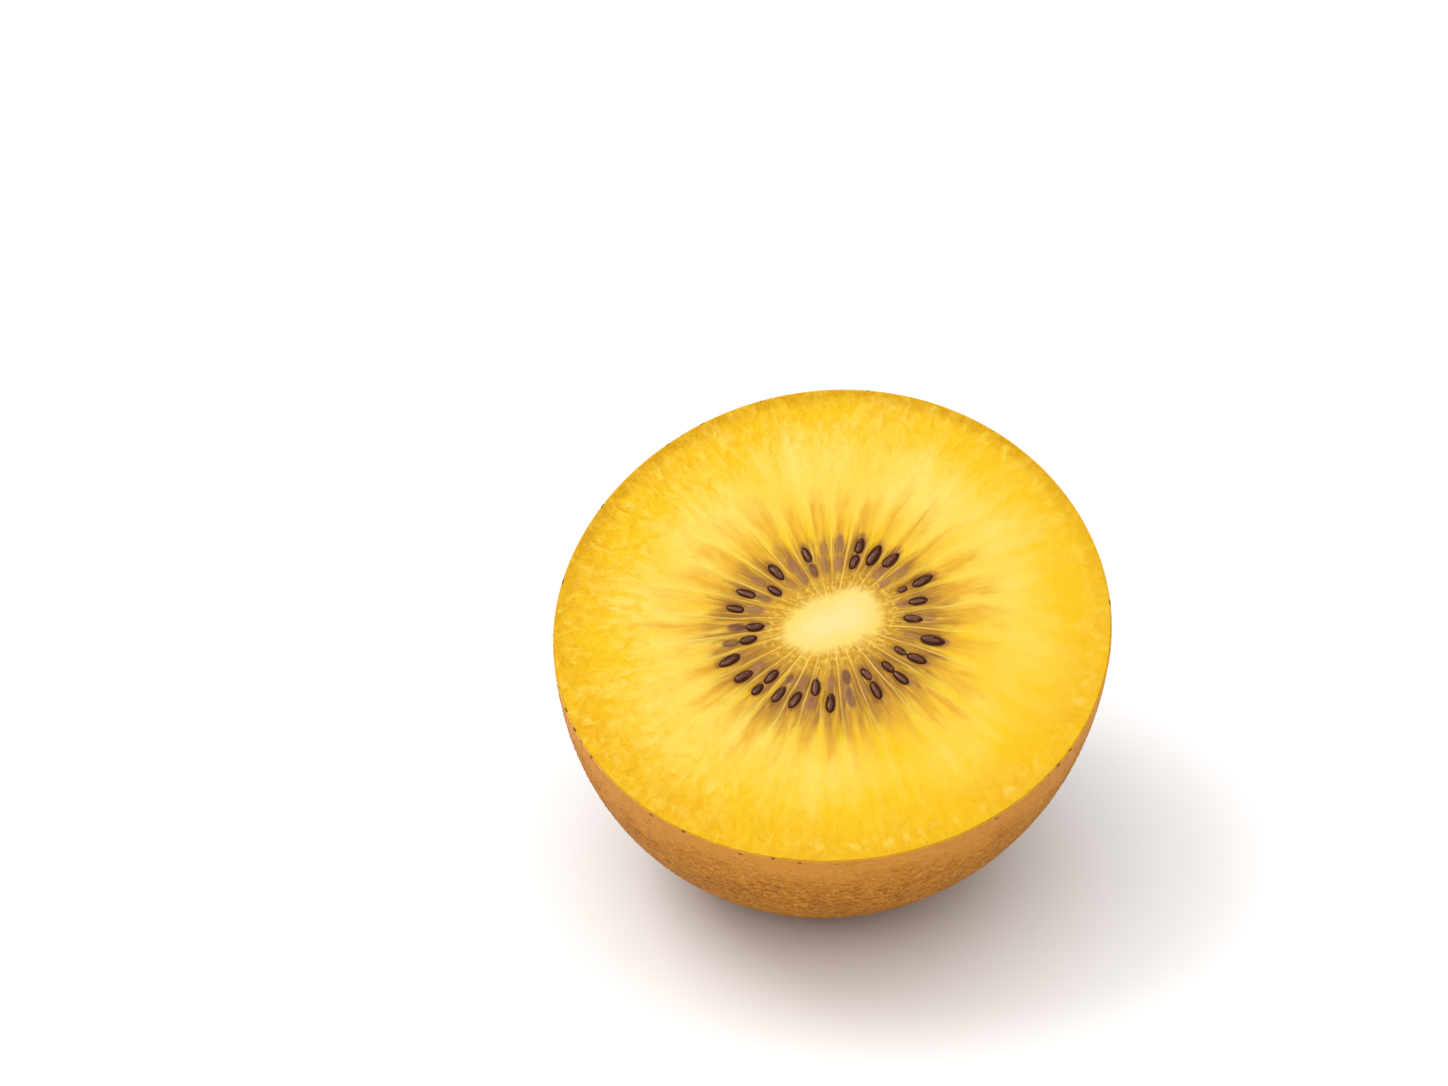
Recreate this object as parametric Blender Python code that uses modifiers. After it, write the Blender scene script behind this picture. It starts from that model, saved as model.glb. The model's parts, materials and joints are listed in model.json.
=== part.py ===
"""Half of a golden kiwi fruit, cut across its middle and resting on its skin with the cut face up.

The fruit is one turned oval. Its blossom end has a shallow dimple, with the low button of its
dried flower in it. A knife cuts the fruit where it is widest, and a small flat spot under the
middle of its weight lets it rest. The cut face leans towards -Y, and X runs along the longer way
across it. Metres, +Z up, with the rest spot at z = 0 and the origin under the middle of the box.
"""

import math

import bpy
from mathutils import Vector

# Driving dimensions
CUT_LENGTH = 0.0520  # across the cut face, the longer way
CUT_WIDTH = 0.0486  # across the cut face, the shorter way
HALF_LENGTH = 0.0360  # from the cut to the blossom end
BLUNTNESS = 2.3  # 2 would be an ellipse, and more is blunter
CUT_TURN = math.radians(20.0)  # how far the longer way is turned in the cut's plane
LEAN = math.radians(26.5)  # how far the cut face leans from level
SPOT_DEPTH = 0.00055  # how much of the fruit's underside the rest spot takes off

# The blossom end
DIMPLE_DEPTH = 0.0012
DIMPLE_RADIUS = 0.0036
BUTTON_HEIGHT = 0.0009
BUTTON_RADIUS = 0.0019

# How finely the fruit is turned
OUTLINE_ROWS = 24  # from the cut to an end
TURN_STEPS = 80
WELD = 0.00001

KNIFE_SIZE = 0.120  # side of the boxes that cut

SKIN_COLOUR = (0.42, 0.24, 0.06, 1.0)
SKIN_ROUGHNESS = 0.6


def clear_scene():
    """Removes every object that the scene holds."""
    for obj in list(bpy.data.objects):
        bpy.data.objects.remove(obj, do_unlink=True)


def collection(name, rendered=True):
    """A new collection in the scene, seen in renders or not."""
    made = bpy.data.collections.new(name)
    made.hide_render = not rendered
    bpy.context.scene.collection.children.link(made)
    return made


def skin_material():
    """The fruit's brown-gold skin."""
    material = bpy.data.materials.new("kiwi_skin")
    material.use_nodes = True
    shader = material.node_tree.nodes["Principled BSDF"]
    shader.inputs["Base Color"].default_value = SKIN_COLOUR
    shader.inputs["Roughness"].default_value = SKIN_ROUGHNESS
    shader.inputs["Metallic"].default_value = 0.0
    return material


def outline_radius(angle):
    """The fruit's radius where the outline has turned by this angle from the widest place."""
    return CUT_LENGTH / 2 * math.cos(angle) ** (2 / BLUNTNESS)


def outline_height(angle):
    """The height on the core's line for the same angle, towards the stem if it's positive."""
    height = HALF_LENGTH * abs(math.sin(angle)) ** (2 / BLUNTNESS)
    return math.copysign(height, angle)


def blossom_end(radius):
    """How far the dimple lifts the blossom end at this radius, less the button in it."""
    dimple = DIMPLE_DEPTH * math.exp(-((radius / DIMPLE_RADIUS) ** 2))
    button = BUTTON_HEIGHT * math.exp(-((radius / BUTTON_RADIUS) ** 4))
    return dimple - button


def outline():
    """The fruit's outline from the stem end down to the blossom end, with both ends on the axis."""
    points = [Vector((0, 0, HALF_LENGTH))]
    rows = 2 * OUTLINE_ROWS
    for row in range(rows):
        angle = math.pi / 2 - math.pi * (row + 0.5) / rows
        radius = outline_radius(angle)
        height = outline_height(angle)
        if height < 0:
            height += blossom_end(radius)
        points.append(Vector((radius, 0, height)))
    points.append(Vector((0, 0, blossom_end(0) - HALF_LENGTH)))
    return points


def turned_fruit(group, placed_by):
    """The whole fruit: its outline turned about the core, flattened a little, turned and leant."""
    points = outline()
    mesh = bpy.data.meshes.new("kiwi_half")
    mesh.from_pydata(points, [(i, i + 1) for i in range(len(points) - 1)], [])
    fruit = bpy.data.objects.new("kiwi_half", mesh)
    group.objects.link(fruit)
    fruit.parent = placed_by
    fruit.rotation_mode = "XYZ"
    fruit.rotation_euler = (LEAN, 0, 0)
    fruit.rotation_euler.rotate_axis("Z", CUT_TURN)
    fruit.scale = (1, CUT_WIDTH / CUT_LENGTH, 1)
    screw = fruit.modifiers.new("turn", "SCREW")
    screw.axis = "Z"
    screw.angle = math.tau
    screw.steps = TURN_STEPS
    screw.render_steps = TURN_STEPS
    screw.use_merge_vertices = True
    screw.merge_threshold = WELD
    screw.use_smooth_shade = True
    mesh.materials.append(skin_material())
    return fruit


def cutter(name, group, placed_by, centre, lean):
    """A box of the cutting size, which only shows as a wire."""
    bpy.ops.mesh.primitive_cube_add(size=KNIFE_SIZE)
    box = bpy.context.object
    box.name = name
    for holder in list(box.users_collection):
        holder.objects.unlink(box)
    group.objects.link(box)
    box.parent = placed_by
    box.location = centre
    box.rotation_euler = (lean, 0, 0)
    box.hide_render = True
    box.display_type = "WIRE"
    return box


def cut(fruit, box):
    """Takes the box away from the fruit."""
    difference = fruit.modifiers.new(box.name, "BOOLEAN")
    difference.operation = "DIFFERENCE"
    difference.solver = "EXACT"
    difference.object = box


def box_of(obj):
    """The low and high corners of an object's finished mesh, in the world."""
    bpy.context.view_layer.update()
    finished = obj.evaluated_get(bpy.context.evaluated_depsgraph_get())
    mesh = finished.to_mesh()
    points = [finished.matrix_world @ vertex.co for vertex in mesh.vertices]
    low = Vector([min(point[axis] for point in points) for axis in range(3)])
    high = Vector([max(point[axis] for point in points) for axis in range(3)])
    finished.to_mesh_clear()
    return low, high


def main():
    clear_scene()
    parts = collection("golden_kiwi_half")
    cutters = collection("cutters", rendered=False)
    middle = bpy.data.objects.new("cut_middle", None)
    parts.objects.link(middle)
    fruit = turned_fruit(parts, middle)

    across = Vector((0, -math.sin(LEAN), math.cos(LEAN)))
    knife = cutter("knife", cutters, middle, across * KNIFE_SIZE / 2, LEAN)
    cut(fruit, knife)

    lowest = box_of(fruit)[0].z
    board_top = lowest + SPOT_DEPTH
    board = cutter("board", cutters, middle, Vector((0, 0, board_top - KNIFE_SIZE / 2)), 0)
    cut(fruit, board)

    low, high = box_of(fruit)
    middle.location = Vector((-(low.x + high.x) / 2, -(low.y + high.y) / 2, -low.z))


if __name__ == "__main__":
    main()
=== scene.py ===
import json
import math

import bpy
import numpy as np
from bpy.props import FloatProperty, FloatVectorProperty, IntProperty, PointerProperty
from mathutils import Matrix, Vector

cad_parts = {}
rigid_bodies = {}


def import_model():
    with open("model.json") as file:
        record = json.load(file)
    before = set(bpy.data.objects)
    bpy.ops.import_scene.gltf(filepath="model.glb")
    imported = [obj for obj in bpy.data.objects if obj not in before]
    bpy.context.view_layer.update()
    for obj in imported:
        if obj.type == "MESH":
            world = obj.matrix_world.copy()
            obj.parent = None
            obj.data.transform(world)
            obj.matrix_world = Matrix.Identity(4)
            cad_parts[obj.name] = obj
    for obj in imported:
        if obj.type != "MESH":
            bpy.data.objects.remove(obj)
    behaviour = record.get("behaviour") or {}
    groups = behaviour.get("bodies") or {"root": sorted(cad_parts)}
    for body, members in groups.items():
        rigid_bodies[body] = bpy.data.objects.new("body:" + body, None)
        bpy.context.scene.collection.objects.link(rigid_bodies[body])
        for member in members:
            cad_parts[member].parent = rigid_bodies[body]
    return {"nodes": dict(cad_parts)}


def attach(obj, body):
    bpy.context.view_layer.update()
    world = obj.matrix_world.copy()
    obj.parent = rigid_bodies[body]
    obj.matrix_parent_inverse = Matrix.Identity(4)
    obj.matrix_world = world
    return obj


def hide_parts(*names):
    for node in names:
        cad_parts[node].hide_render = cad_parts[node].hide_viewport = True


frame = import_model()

bl_info = {
    "name": "Golden kiwi half",
    "version": (1, 0, 0),
    "blender": (4, 5, 0),
    "location": "View3D > Sidebar > Kiwi",
    "description": "Half a golden kiwi fruit, cut across, with its flesh, seeds, skin and fuzz",
    "category": "Add Mesh",
}

NODE = "kiwi_half"
BODY = "root"
MM = 0.001
UP = np.array((0.0, 0.0, 1.0))


# ---------------------------------------------------------------- the frame's fruit


def unit(vector):
    """The vector or vectors at length one."""
    return vector / np.linalg.norm(vector, axis=-1, keepdims=True)


class CutFruit:
    """Where the frame's cut fruit lies and how big it is, worked out from its solid.

    The cut face is the flat with the most area. Its oval's half lengths are twice the square
    roots of its second moments, and the fruit's depth is how far it reaches behind the cut.
    """

    def __init__(self, node):
        mesh = frame["nodes"][node].data
        points = np.empty(len(mesh.vertices) * 3)
        mesh.vertices.foreach_get("co", points)
        points = points.reshape(-1, 3)
        mesh.calc_loop_triangles()
        corner_of = np.empty(len(mesh.loop_triangles) * 3, np.int32)
        mesh.loop_triangles.foreach_get("vertices", corner_of)
        corners = points[corner_of.reshape(-1, 3)]
        twice = np.cross(corners[:, 1] - corners[:, 0], corners[:, 2] - corners[:, 0])
        area = np.linalg.norm(twice, axis=1) / 2
        facing = np.round(twice / (2 * area[:, None] + 1e-15), 2)
        _, group = np.unique(facing, axis=0, return_inverse=True)
        group = group.reshape(-1)
        flat = group == np.argmax(np.bincount(group, area))
        corners, area = corners[flat], area[flat]

        self.middle = (corners.mean(axis=1) * area[:, None]).sum(axis=0) / area.sum()
        self.out = unit(twice[flat].sum(axis=0))
        self.right = unit(np.cross(UP, self.out))
        self.uphill = np.cross(self.out, self.right)
        plane = np.stack([self.right, self.uphill], axis=1)
        offsets = (corners - self.middle) @ plane
        total = offsets.sum(axis=1)
        squares = np.einsum("tci,tcj->tij", offsets, offsets) + np.einsum("ti,tj->tij", total, total)
        moments = (squares * area[:, None, None] / 12).sum(axis=0) / area.sum()
        spread, axes = np.linalg.eigh(moments)
        self.short_half, self.long_half = 2 * np.sqrt(spread)
        self.turn = math.atan(axes[1, 1] / axes[0, 1])
        self.depth = float((-(points - self.middle) @ self.out).max())

    def place(self, across, uphill, height):
        """Points given along the cut face and above it, in the frame's own axes."""
        return (
            self.middle
            + np.asarray(across)[..., None] * self.right
            + np.asarray(uphill)[..., None] * self.uphill
            + np.asarray(height)[..., None] * self.out
        )


CUT = CutFruit(NODE)
END_DIP = 0.6 * MM  # how far the dimple at the blossom end cuts into the fruit's reach


# ---------------------------------------------------------------- sizes and colours


def length(name, description, default):
    """A length that the user may change, in metres."""
    return FloatProperty(name=name, description=description, default=default, min=0.0, unit="LENGTH")


def number(name, description, default, **kind):
    """Another number that the user may change, with its unit or subtype."""
    return FloatProperty(name=name, description=description, default=default, **kind)


def how_many(name, description, default):
    """A number of things that the user may change."""
    return IntProperty(name=name, description=description, default=default, min=0)


def colour(name, description, default):
    """A colour that the user may change."""
    return FloatVectorProperty(
        name=name, description=description, default=default, size=3, min=0.0, max=1.0, subtype="COLOR"
    )


class KiwiShape(bpy.types.PropertyGroup):
    """Sizes of the fruit, its flesh and its seeds."""

    half_length: length("Half length", "From the cut to the blossom end", CUT.depth + END_DIP)
    bluntness: number("Bluntness", "2 is an oval end, more is blunter", 2.3)
    lobes: number("Lobes", "How much the cross-section swells at three places, as a share", 0.0093)
    skin_thickness: length("Skin thickness", "Thickness of the skin at the cut", 0.14 * MM)
    core_length: length("Core length", "Longer way across the pale core", 9.5 * MM)
    core_width: length("Core width", "Shorter way across the pale core", 5.6 * MM)
    seed_ring: length("Seed ring", "How far out a usual seed lies", 8.4 * MM)
    gel_length: length("Seed zone length", "Longer way across the zone of seed pockets", 28.5 * MM)
    gel_width: length("Seed zone width", "Shorter way across the zone of seed pockets", 25.2 * MM)
    seed_length: length("Seed length", "Length of a usual seed", 2.08 * MM)
    seed_width: length("Seed width", "Width of a usual seed", 0.90 * MM)
    fuzz_length: length("Fuzz length", "Length of a usual hair on the skin", 0.40 * MM)
    fuzz_count: how_many("Fuzz count", "How many hairs the skin has", 15000)
    end_fuzz_length: length("End fuzz length", "Length of a usual hair at the blossom end", 1.1 * MM)
    end_fuzz_count: how_many("End fuzz count", "How many longer hairs the blossom end has", 520)
    style_count: how_many("Thread count", "How many dried threads the flower left", 34)


class KiwiColours(bpy.types.PropertyGroup):
    """Colours of the fruit."""

    flesh: colour("Flesh", "Bright golden flesh", (0.690, 0.430, 0.005))
    # Also the painted highlight on the crests of the wrinkles.
    flesh_pale: colour("Pale flesh", "Paler streaks in the flesh", (0.715, 0.530, 0.100))
    # Also painted shade: towards the skin and in the hollows of the wrinkles and lumps.
    flesh_deep: colour("Deep flesh", "Deeper gold close to the skin", (0.640, 0.332, 0.002))
    # Painted shade along the skin on the far side of the cut face.
    lip_shade_colour: colour("Far lip", "Dark gold flesh along the skin on the far side", (0.50, 0.245, 0.0005))
    core: colour("Core", "Creamy middle", (0.700, 0.560, 0.235))
    gel: colour("Seed pockets", "Clear olive-gold jelly in the seed pockets", (0.450, 0.215, 0.012))
    gold: colour("Gold streaks", "Orange-gold streaks outside the seeds", (0.61, 0.315, 0.018))
    # Also painted shade close round each open seed.
    brown: colour("Brown streaks", "Brown stain round the seeds", (0.235, 0.098, 0.022))
    # Also the painted glints just outside the core.
    wall: colour("Pocket walls", "Pale walls between the seed pockets", (0.72, 0.50, 0.090))
    sunken: colour("Sunken seeds", "Seeds seen through the flesh", (0.185, 0.082, 0.050))
    seed: colour("Seed", "Dark brown seed coat", (0.034, 0.0046, 0.0008))
    # Also the tone of the painted highlight stripe along the top of each seed.
    seed_light: colour("Seed light", "Lighter ribs of the seed coat", (0.33, 0.140, 0.065))
    # Near the cut the tan is partly a painted sheen.
    skin: colour("Skin", "Tan skin close to the cut", (0.580, 0.240, 0.034))
    skin_gold: colour("Golden skin", "Golden-brown skin further down", (0.500, 0.182, 0.008))
    skin_light: colour("Light skin", "Lighter flecks of the skin", (0.74, 0.38, 0.065))
    # Also the painted shade towards the bottom of the skin.
    skin_dark: colour("Dark skin", "Darker mottles of the skin", (0.235, 0.072, 0.007))
    # Strongest on the upper side, where it is partly a painted highlight along the rim.
    skin_edge: colour("Skin edge", "Cut edge of the skin", (0.80, 0.50, 0.11))
    fuzz: colour("Fuzz", "Short hairs on the skin", (0.62, 0.27, 0.030))
    end_fuzz: colour("End fuzz", "Longer hairs at the blossom end", (0.36, 0.145, 0.045))
    dried: colour("Dried flower", "Dried parts at the blossom end", (0.085, 0.040, 0.018))
    floor: colour("Floor", "Plain pale floor", (0.90, 0.90, 0.90))


class KiwiStage(bpy.types.PropertyGroup):
    """Camera, lights and floor."""

    distance: length("Camera distance", "From the middle of the cut face to the camera", 0.3427)
    azimuth: number("Camera azimuth", "0 looks along +Y", math.radians(-1.1), subtype="ANGLE")
    elevation: number("Camera elevation", "Height over the horizon", math.radians(36.9), subtype="ANGLE")
    aim_left: length("Aim left", "How far left of the cut's middle the camera looks", 10.25 * MM)
    aim_up: length("Aim up", "How far over the cut's middle the camera looks", 6.88 * MM)
    lens: number("Lens", "Focal length in millimetres", 92.2, unit="CAMERA")
    floor_size: length("Floor size", "Side of the floor", 3.0)
    sky: number("Sky", "Strength of the light from all round", 0.50)
    top: number("Top", "Power of the wide soft light overhead", 7.9, unit="POWER")
    window: number("Window", "Power of the smaller light from the left", 1.8, unit="POWER")


# ---------------------------------------------------------------- noise and shapes

HASH_STEPS = np.array((73856093, 19349663, 83492791), np.int64)  # large primes that scatter the corners
HASH_SEED = 961748941
HASH_SPREAD = 1274126177
HASH_TOP = 0xFFFFFF


def smooth_noise(points, seed):
    """Noise from -1 to 1: a random number at each corner of a cubic lattice, blended smoothly between the
    eight corners round each point."""
    cell = np.floor(points).astype(np.int64)
    part = points - cell
    part = part * part * (3 - 2 * part)
    total = np.zeros(points.shape[:-1])
    for corner in np.ndindex(2, 2, 2):
        key = ((cell + corner) * HASH_STEPS).sum(axis=-1) + seed * HASH_SEED
        key = (key ^ (key >> 13)) * HASH_SPREAD
        key = (key ^ (key >> 16)) & HASH_TOP
        weight = np.where(corner, part, 1 - part).prod(axis=-1)
        total += weight * (key / (HASH_TOP // 2) - 1)
    return total


def layered_noise(points, seed, layers=3):
    """Smooth noise plus finer layers of it, each twice as fine and half as strong."""
    return sum(smooth_noise(points * 2**i, seed + i) / 2**i for i in range(layers))


def ramp(values, start, end):
    """0 at start and 1 at end, with a smooth rise between them."""
    t = np.clip((values - start) / (end - start), 0, 1)
    return t * t * (3 - 2 * t)


def mix(first, second, share_of_second):
    """The first value, the second, or a blend of them."""
    return first + (second - first) * share_of_second


def bell(values, middle, width):
    """A bell curve: 1 at the middle, and e to the minus square of how many widths away elsewhere."""
    return np.exp(-(((values - middle) / width) ** 2))


def turned(along, beside, angle):
    """A step along a direction and one to its left, as steps along the two axes."""
    return along * np.cos(angle) - beside * np.sin(angle), along * np.sin(angle) + beside * np.cos(angle)


def all_round(count):
    """Evenly spaced angles all the way round."""
    return np.linspace(0, 2 * math.pi, count, endpoint=False)


def oval_radius(angle, long_half, short_half, turn, power=2.0):
    """How far out an oval's edge is at each angle: the power mean that makes an ellipse at power 2, and a
    rounder rectangle above it."""
    across = np.abs(np.cos(angle - turn) / long_half) ** power
    along = np.abs(np.sin(angle - turn) / short_half) ** power
    return (across + along) ** (-1 / power)


QUARTER = math.pi / 2
LOBE_ANGLE = math.radians(-53.3)  # one of the three places where the section swells
DIMPLE_DEPTH = 1.2 * MM
DIMPLE_RADIUS = 3.6 * MM
REST_ROUNDING = 0.12 * MM  # how softly the flat rest spot runs into the skin round it


def section(angle, lobes):
    """The fruit's cross-section: an oval whose radius swells three times round by the share lobes, turned
    in the cut's plane. Gives the points across and uphill."""
    swell = 1 + lobes * np.cos(3 * (angle - LOBE_ANGLE))
    long_way = CUT.long_half * np.cos(angle) * swell
    short_way = CUT.short_half * np.sin(angle) * swell
    return turned(long_way, short_way, CUT.turn)


def rested(points, lowest=0.0):
    """The points with the underside flattened where it rests: a height z over the lowest one becomes half
    of z plus the root of z squared and a small constant squared, which never goes below the lowest."""
    height = points[..., 2] - lowest
    points = points.copy()
    points[..., 2] = (height + np.sqrt(height**2 + REST_ROUNDING**2)) / 2 + lowest
    return points


def fruit_surface(shape, angle, down, inset=0.0):
    """A point of the fruit's outside. angle goes round and down goes from 0 at the cut to a quarter turn at
    the blossom end: the radius shrinks with the cosine of down and the depth grows with its sine, both
    to the power 2 over bluntness. The blossom end has a small round dimple. inset is how far inside
    the skin the point lies."""
    power = 2 / shape.bluntness
    narrow = np.cos(down) ** power
    deep = np.sin(down) ** power
    across, uphill = section(angle, shape.lobes * (1 - deep))
    grow = 1 - inset / CUT.long_half
    radius = np.hypot(across, uphill) * narrow
    depth = shape.half_length * deep * grow - DIMPLE_DEPTH * bell(radius, 0, DIMPLE_RADIUS)
    return rested(CUT.place(across * narrow * grow, uphill * narrow * grow, -depth), inset)


def blossom_pole(shape, inset=0.0):
    """The middle of the blossom end, or the point this far inside it."""
    return fruit_surface(shape, np.array(0.0), np.array(QUARTER), inset)


def surface_frame(shape, angle, down):
    """The outside's points, with the unit directions out of it, down towards the blossom end and round it,
    from small steps along the two parameters."""
    step = 1e-3
    here = fruit_surface(shape, angle, down)
    below = unit(fruit_surface(shape, angle, down + step) - fruit_surface(shape, angle, down - step))
    beside = unit(fruit_surface(shape, angle + step, down) - fruit_surface(shape, angle - step, down))
    outward = unit(np.cross(below, beside))
    return here, outward, below, beside


# ---------------------------------------------------------------- meshes


def new_piece(name, points, quads, triangles, material, smooth=True):
    """An object from points, four-cornered faces and three-cornered ones, with its material."""
    mesh = bpy.data.meshes.new(name)
    mesh.vertices.add(len(points))
    mesh.vertices.foreach_set("co", np.ascontiguousarray(points, np.float32).ravel())
    corners = np.concatenate([quads.ravel(), triangles.ravel()]).astype(np.int32)
    sizes = np.concatenate([np.full(len(quads), 4), np.full(len(triangles), 3)])
    starts = np.concatenate([[0], np.cumsum(sizes)[:-1]]).astype(np.int32)
    mesh.loops.add(len(corners))
    mesh.loops.foreach_set("vertex_index", corners)
    mesh.polygons.add(len(sizes))
    mesh.polygons.foreach_set("loop_start", starts)
    mesh.polygons.foreach_set("use_smooth", np.full(len(sizes), smooth))
    mesh.update(calc_edges=True)
    if mesh.validate():
        raise RuntimeError(f"{name} has faulty faces")
    mesh.materials.append(material)
    piece = bpy.data.objects.new(name, mesh)
    bpy.context.scene.collection.objects.link(piece)
    return piece


def ring_faces(rings, around):
    """Faces of a shape made of rings of points between a first and a last pole: the first pole is point 0,
    then come the rings, and the last pole is the last point. They face out where the rings turn to the
    left as seen from the first pole."""
    column = np.arange(around)
    beside = (column + 1) % around
    start = 1 + np.arange(rings - 1)[:, None] * around
    below = start + around
    quads = np.stack([start + column, below + column, below + beside, start + beside], axis=-1)
    last_ring = 1 + (rings - 1) * around
    last_pole = last_ring + around
    first = np.stack([np.zeros_like(column), 1 + column, 1 + beside], axis=-1)
    last = np.stack([last_ring + column, np.full_like(column, last_pole), last_ring + beside], axis=-1)
    return quads.reshape(-1, 4), np.concatenate([first, last])


def ringed_piece(name, rings, first_pole, last_pole, material, flip=False):
    """A closed piece from rings of points, rings by round by 3, and its two poles. flip turns its faces
    over."""
    points = np.concatenate([first_pole[None], rings.reshape(-1, 3), last_pole[None]])
    order = -1 if flip else 1
    quads, triangles = (faces[:, ::order] for faces in ring_faces(*rings.shape[:2]))
    return new_piece(name, points, quads, triangles, material)


def many_copies(points, quads, triangles):
    """Points of many like shapes, shapes by points by 3, with the faces of each numbered on from the last."""
    count, each = points.shape[:2]
    first = (np.arange(count) * each)[:, None, None]
    return points.reshape(-1, 3), (quads + first).reshape(-1, 4), (triangles + first).reshape(-1, 3)


def add_values(piece, name, values):
    """Gives each point of the piece a number, or three, for its material to read."""
    kind = "FLOAT_VECTOR" if values.ndim == 2 else "FLOAT"
    field = "vector" if values.ndim == 2 else "value"
    layer = piece.data.attributes.new(name, kind, "POINT")
    layer.data.foreach_set(field, np.ascontiguousarray(values, np.float32).ravel())


def add_ring_values(piece, name, rings, first, last):
    """Gives a ringed piece the values of its rings and of its two poles."""
    rows = rings.reshape(-1, *rings.shape[2:])
    add_values(piece, name, np.concatenate([[first], rows, [last]]))


def belongs(piece):
    """Makes the piece stand for the frame's fruit and move with it."""
    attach(piece, BODY)
    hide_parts(NODE)


# ---------------------------------------------------------------- materials


class Value:
    """A node's output that can be used in sums."""

    def __init__(self, nodes, socket):
        self.nodes = nodes
        self.socket = socket

    def math(self, operation, *others):
        """This value and the others through a Math node."""
        inputs = {i: other for i, other in enumerate((self, *others))}
        return self.nodes.add("ShaderNodeMath", {"operation": operation}, inputs)

    def __add__(self, other):
        return self.math("ADD", other)

    def __sub__(self, other):
        return self.math("SUBTRACT", other)

    def __rsub__(self, other):
        return self.nodes.add("ShaderNodeMath", {"operation": "SUBTRACT"}, {0: other, 1: self})

    def __mul__(self, other):
        return self.math("MULTIPLY", other)

    __radd__ = __add__
    __rmul__ = __mul__

    def within(self, low, high):
        """This value kept between low and high."""
        return self.nodes.add("ShaderNodeClamp", {}, {"Value": self, "Min": low, "Max": high})

    def rise(self, start, end):
        """0 at start and 1 at end, with a smooth rise between."""
        settings = {"interpolation_type": "SMOOTHSTEP"}
        inputs = {"Value": self, "From Min": start, "From Max": end}
        return self.nodes.add("ShaderNodeMapRange", settings, inputs)


class Nodes:
    """A material's nodes, added one call at a time."""

    def __init__(self, name):
        self.material = bpy.data.materials.new(name)
        self.material.use_nodes = True
        self.tree = self.material.node_tree
        self.shader = self.tree.nodes["Principled BSDF"]

    def add(self, kind, settings, inputs, output=0):
        """A node of this kind, with its settings made first and then its inputs set or linked."""
        node = self.tree.nodes.new(kind)
        for key, value in settings.items():
            setattr(node, key, value)
        for key, value in inputs.items():
            self.put(node.inputs[key], value)
        return Value(self, node.outputs[output])

    def put(self, socket, value):
        """Links a value to a socket, or sets the socket to a number or a colour."""
        if isinstance(value, Value):
            self.tree.links.new(value.socket, socket)
        elif hasattr(value, "__len__") and len(value) == 3 and socket.type == "RGBA":
            socket.default_value = (*value, 1.0)
        else:
            socket.default_value = value

    def place(self):
        """The point on the piece, in metres."""
        return self.add("ShaderNodeTexCoord", {}, {}, "Object")

    def attribute(self, name, output="Fac"):
        """A number or three that the piece's points carry."""
        return self.add("ShaderNodeAttribute", {"attribute_name": name}, {}, output)

    def noise(self, where, scale, detail=2.0, roughness=0.5, distortion=0.0):
        """Noise from 0 to 1. Its scale is one number, or one along each axis."""
        if isinstance(scale, tuple):
            where = self.add("ShaderNodeVectorMath", {"operation": "MULTIPLY"}, {0: where, 1: scale})
            scale = 1.0
        inputs = {"Vector": where, "Scale": scale, "Detail": detail, "Roughness": roughness}
        return self.add("ShaderNodeTexNoise", {}, {**inputs, "Distortion": distortion})

    def cells(self, where, scale):
        """How far a point is from the nearest of many scattered centres, in cells."""
        return self.add("ShaderNodeTexVoronoi", {}, {"Vector": where, "Scale": scale}, "Distance")

    def blend(self, first, second, factor, most=1.0):
        """Two colours mixed by a factor, which is kept between 0 and most."""
        if most < 1:
            factor = factor.within(0.0, most)
        settings = {"data_type": "RGBA", "clamp_factor": True}
        return self.add("ShaderNodeMix", settings, {"Factor": factor, 6: first, 7: second}, 2)

    def bump(self, height, distance, strength):
        """A normal tilted by a height, which is in units of distance."""
        return self.add("ShaderNodeBump", {}, {"Height": height, "Distance": distance, "Strength": strength})

    def finish(self, **values):
        """Sets the shader's sockets, with underscores for spaces, and gives the material."""
        for key, value in values.items():
            self.put(self.shader.inputs[key.replace("_", " ")], value)
        return self.material


FLESH_SCATTER = (1.0, 0.45, 0.08)
# What each point of the flesh carries for its material, as CutPattern works it out.
FACE_VALUES = (
    "past_core", "past_ring", "past_zone", "from_wall",
    "stain_and_seed_shade", "sunken", "pale", "rim", "rough", "grainy", "far_shade_band",
)


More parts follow.
